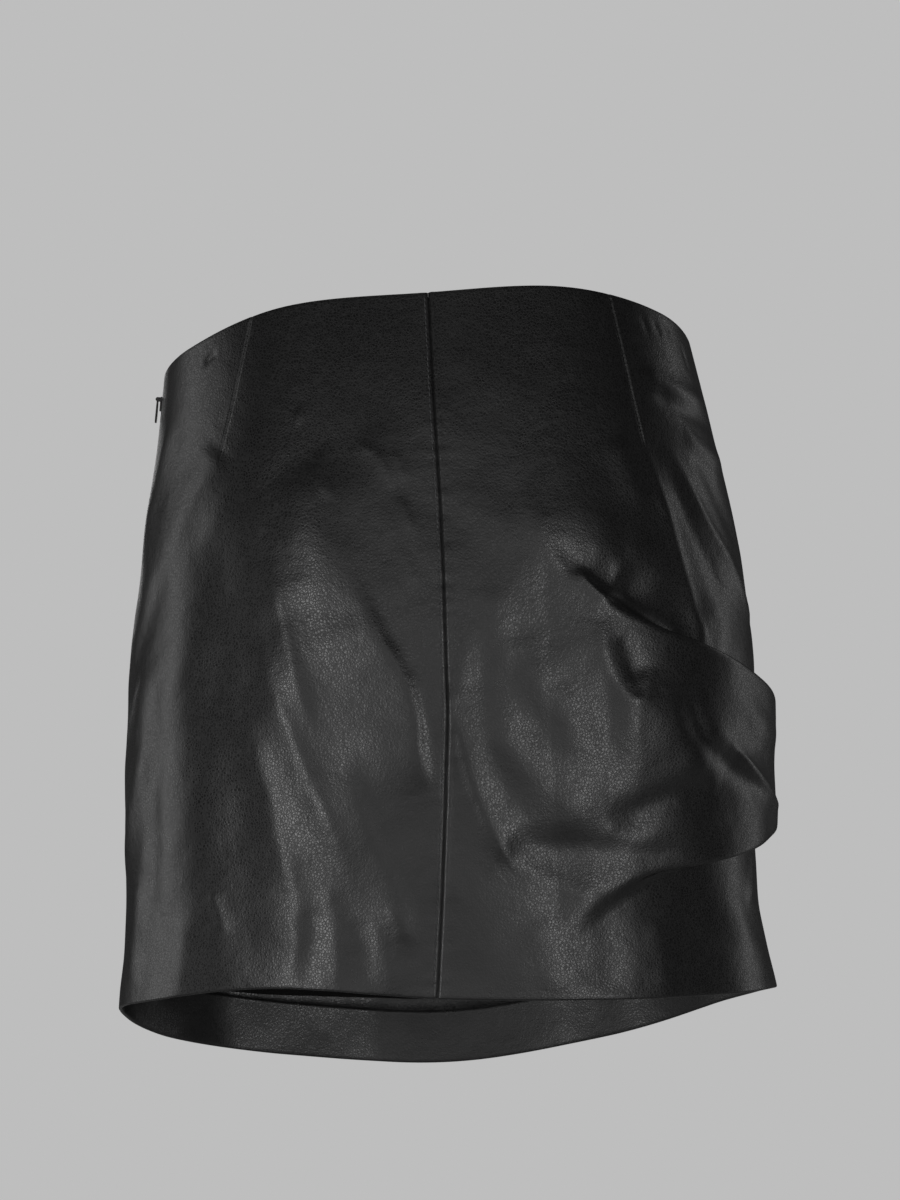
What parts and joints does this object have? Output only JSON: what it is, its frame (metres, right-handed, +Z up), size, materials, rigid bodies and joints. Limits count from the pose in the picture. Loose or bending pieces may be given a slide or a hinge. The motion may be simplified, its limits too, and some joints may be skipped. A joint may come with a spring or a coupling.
{
  "type": "mini skirt",
  "caption": "Leather mini skirt in worn shape, with back darts, a centre back seam, a side zip and a draped fold across the right hip.",
  "frame": {"origin": "centre of the waist opening, level with the waist edge at the sides", "axes": "+X to the wearer's right, +Y to the wearer's front, +Z up. The picture looks along +Y at the back."},
  "size_m": [0.3798, 0.2457, 0.4458],
  "materials": {
    "leather": "fine pebbled grain, semi-gloss",
    "zip_tape": "matt woven",
    "zip_coil": "matt",
    "zip_metal": "black satin"
  },
  "bodies": {
    "skirt": {"back_left_panel": "leather", "back_right_panel": "leather", "front_panel": "leather", "zip_tape_back": "zip_tape", "zip_tape_front": "zip_tape", "zip_coil": "zip_coil", "zip_slider": "zip_metal"},
    "pull_tab": {"zip_pull": "zip_metal"}
  },
  "joints": [
    {"name": "pull_tab_hinge", "type": "hinge", "parent": "skirt", "child": "pull_tab", "pos_m": [-0.15423, 0, -0.01306], "axis": [0, 1, 0], "range_deg": [0, 160]}
  ]
}
